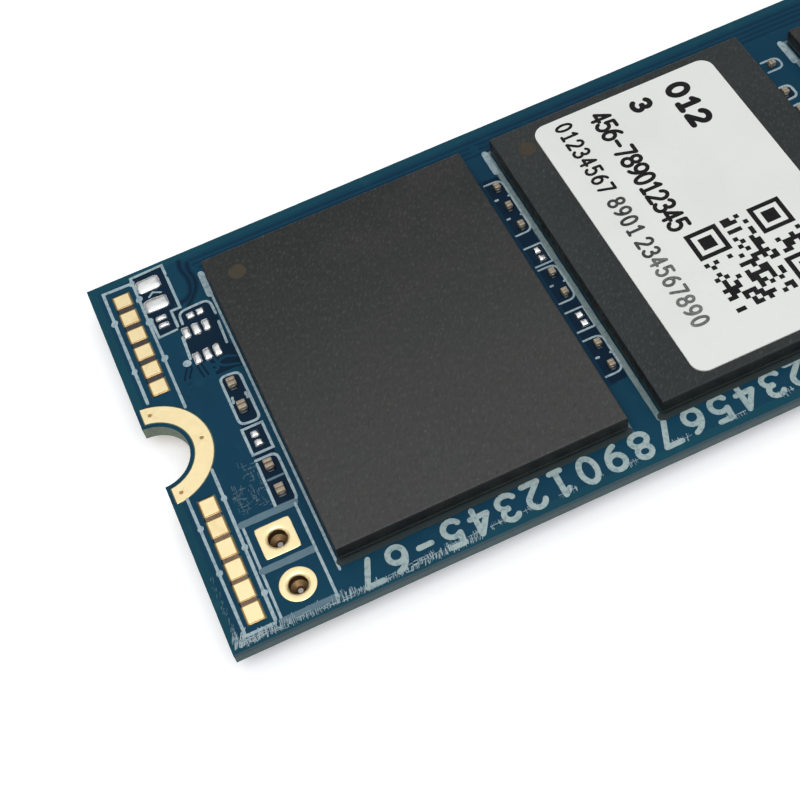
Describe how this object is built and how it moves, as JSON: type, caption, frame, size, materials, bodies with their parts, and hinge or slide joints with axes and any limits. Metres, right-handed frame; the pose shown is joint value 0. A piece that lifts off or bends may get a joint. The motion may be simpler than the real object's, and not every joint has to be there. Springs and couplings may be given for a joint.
{
  "type": "solid state drive",
  "caption": "Bare plug-in solid state drive: blue circuit board with flash, memory and controller packages, a keyed edge connector and a half-round mounting notch.",
  "frame": {"origin": "middle of the footprint, level with the outer faces of the lowest packages", "axes": "+X from the mounting notch to the edge connector, +Z out of the labelled side, +Y completes the right hand"},
  "size_m": [0.08, 0.022, 0.0032],
  "materials": {
    "capacitor_ceramic": "fired ceramic, fine matt",
    "copper_wire": "enamelled copper",
    "crystal_ceramic": "dark ceramic",
    "gold_plate": "thin gold over nickel, satin",
    "label_paper": "off-white coated paper",
    "laminate": "glass-fibre board, cut edges matt",
    "lid_metal": "nickel plate, satin",
    "mould_compound": "charcoal epoxy, fine grain",
    "package_substrate": "dark green laminate edge",
    "pressed_ferrite": "pressed metal powder",
    "resistor_ceramic": "black glaze",
    "silicon": "polished silicon",
    "solder": "bright reflowed solder",
    "solder_balls": "dull solder",
    "solder_mask": "deep blue lacquer, satin gloss",
    "tinned_metal": "tin plate, softly bright"
  },
  "bodies": {
    "root": {"bare_solder_pads": "solder", "bulk_caps_bodies": "capacitor_ceramic", "bulk_caps_end_caps": "tinned_metal", "ceramic_caps_notch_bodies": "capacitor_ceramic", "ceramic_caps_notch_end_caps": "tinned_metal", "ceramic_caps_top_bodies": "capacitor_ceramic", "ceramic_caps_top_end_caps": "tinned_metal", "ceramic_caps_under_bodies": "capacitor_ceramic", "ceramic_caps_under_end_caps": "tinned_metal", "circuit_board": "laminate", "controller_balls": "solder_balls", "controller_die": "silicon", "controller_lid": "lid_metal", "controller_substrate": "package_substrate", "crystal_base": "crystal_ceramic", "crystal_lid": "lid_metal", "dram_top_balls": "solder_balls", "dram_top_dies": "silicon", "dram_top_mould": "mould_compound", "dram_top_substrate": "package_substrate", "dram_under_balls": "solder_balls", "dram_under_dies": "silicon", "dram_under_mould": "mould_compound", "dram_under_substrate": "package_substrate", "edge_contacts_top": "gold_plate", "edge_contacts_under": "gold_plate", "flash_top_a_balls": "solder_balls", "flash_top_a_dies": "silicon", "flash_top_a_mould": "mould_compound", "flash_top_a_substrate": "package_substrate", "flash_top_b_balls": "solder_balls", "flash_top_b_dies": "silicon", "flash_top_b_mould": "mould_compound", "flash_top_b_substrate": "package_substrate", "flash_under_a_balls": "solder_balls", "flash_under_a_dies": "silicon", "flash_under_a_mould": "mould_compound", "flash_under_a_substrate": "package_substrate", "flash_under_b_balls": "solder_balls", "flash_under_b_dies": "silicon", "flash_under_b_mould": "mould_compound", "flash_under_b_substrate": "package_substrate", "inductor_coils": "copper_wire", "inductor_cores": "pressed_ferrite", "inductor_terminals": "tinned_metal", "label": "label_paper", "mount_ring_top": "gold_plate", "mount_ring_under": "gold_plate", "plated_hole_round": "gold_plate", "plated_hole_square": "gold_plate", "power_chip_body": "mould_compound", "power_chip_leads": "tinned_metal", "resistors_bodies": "resistor_ceramic", "resistors_end_caps": "tinned_metal", "solder_mask_top": "solder_mask", "solder_mask_under": "solder_mask", "test_pads_far": "gold_plate", "test_pads_near": "gold_plate"}
  },
  "joints": []
}
